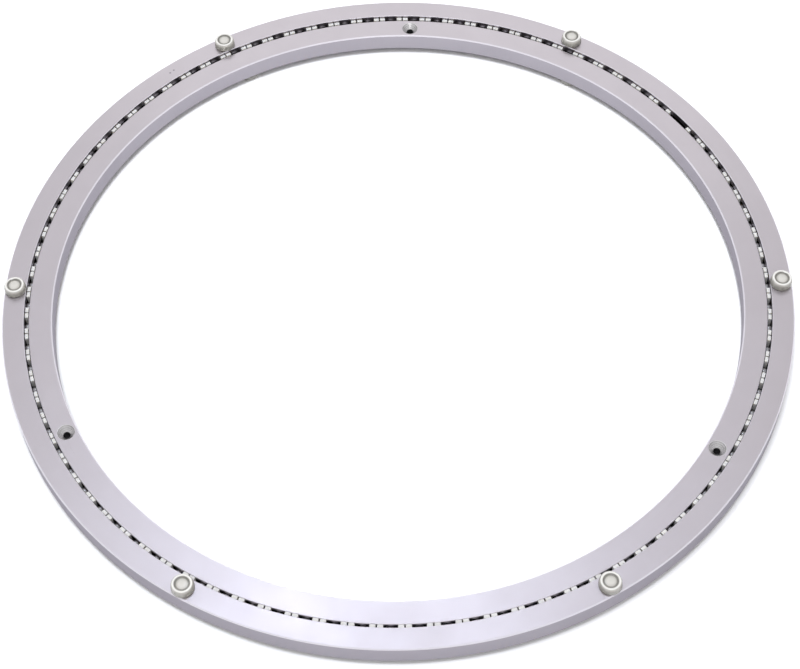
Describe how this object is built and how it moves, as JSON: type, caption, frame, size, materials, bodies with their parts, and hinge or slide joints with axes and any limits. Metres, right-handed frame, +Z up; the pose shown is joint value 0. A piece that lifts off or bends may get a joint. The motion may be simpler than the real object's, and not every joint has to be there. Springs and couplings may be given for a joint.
{
  "type": "aluminium turntable ring bearing",
  "caption": "Flat aluminium ring bearing for a turntable: an outer ring turns round an inner ring on caged balls, with pads above and feet below.",
  "frame": {"origin": "on the rings' common axis, in the plane the foot pads stand on", "axes": "+Z up along the axis of rotation, from the feet to the plate pads; +X through the first foot pad; +Y through the first screw hole"},
  "size_m": [0.4, 0.4, 0.0196],
  "materials": {
    "ring_aluminium": "satin clear anodised, turned faces, bright chamfers",
    "cage_nylon": "natural white moulded nylon",
    "ball_steel": "polished bearing steel, lightly greased",
    "clear_pad": "clear moulded soft plastic, slightly yellowed"
  },
  "bodies": {
    "base": {"inner_ring": "ring_aluminium", "foot_pad_1": "clear_pad", "foot_pad_2": "clear_pad", "foot_pad_3": "clear_pad", "foot_pad_4": "clear_pad", "foot_pad_5": "clear_pad", "foot_pad_6": "clear_pad"},
    "turntable": {"outer_ring": "ring_aluminium", "top_pad_1": "clear_pad", "top_pad_2": "clear_pad", "top_pad_3": "clear_pad", "top_pad_4": "clear_pad", "top_pad_5": "clear_pad", "top_pad_6": "clear_pad"},
    "cage": {"ball_retainer": "cage_nylon", "ball_01": "ball_steel", "ball_03": "ball_steel", "ball_05": "ball_steel", "ball_07": "ball_steel", "ball_09": "ball_steel", "ball_11": "ball_steel", "ball_13": "ball_steel", "ball_15": "ball_steel", "ball_17": "ball_steel", "ball_19": "ball_steel", "ball_21": "ball_steel", "ball_23": "ball_steel", "ball_25": "ball_steel", "ball_27": "ball_steel", "ball_29": "ball_steel", "ball_31": "ball_steel", "ball_33": "ball_steel", "ball_35": "ball_steel", "ball_37": "ball_steel", "ball_39": "ball_steel", "ball_41": "ball_steel", "ball_43": "ball_steel", "ball_45": "ball_steel", "ball_47": "ball_steel", "ball_49": "ball_steel", "ball_51": "ball_steel", "ball_53": "ball_steel", "ball_55": "ball_steel", "ball_57": "ball_steel", "ball_59": "ball_steel", "ball_61": "ball_steel", "ball_63": "ball_steel", "ball_65": "ball_steel", "ball_67": "ball_steel", "ball_69": "ball_steel", "ball_71": "ball_steel", "ball_73": "ball_steel", "ball_75": "ball_steel", "ball_77": "ball_steel", "ball_79": "ball_steel", "ball_81": "ball_steel", "ball_83": "ball_steel", "ball_85": "ball_steel", "ball_87": "ball_steel", "ball_89": "ball_steel"}
  },
  "joints": [
    {"name": "turntable_spin", "type": "hinge", "parent": "base", "child": "turntable", "pos_m": [0, 0, 0.009], "axis": [0, 0, 1], "continuous": true},
    {"name": "cage_spin", "type": "hinge", "parent": "base", "child": "cage", "pos_m": [0, 0, 0.009], "axis": [0, 0, 1], "continuous": true}
  ],
  "couplings": [
    {"joint": "cage_spin", "follows": "turntable_spin", "ratio": 0.5056}
  ]
}
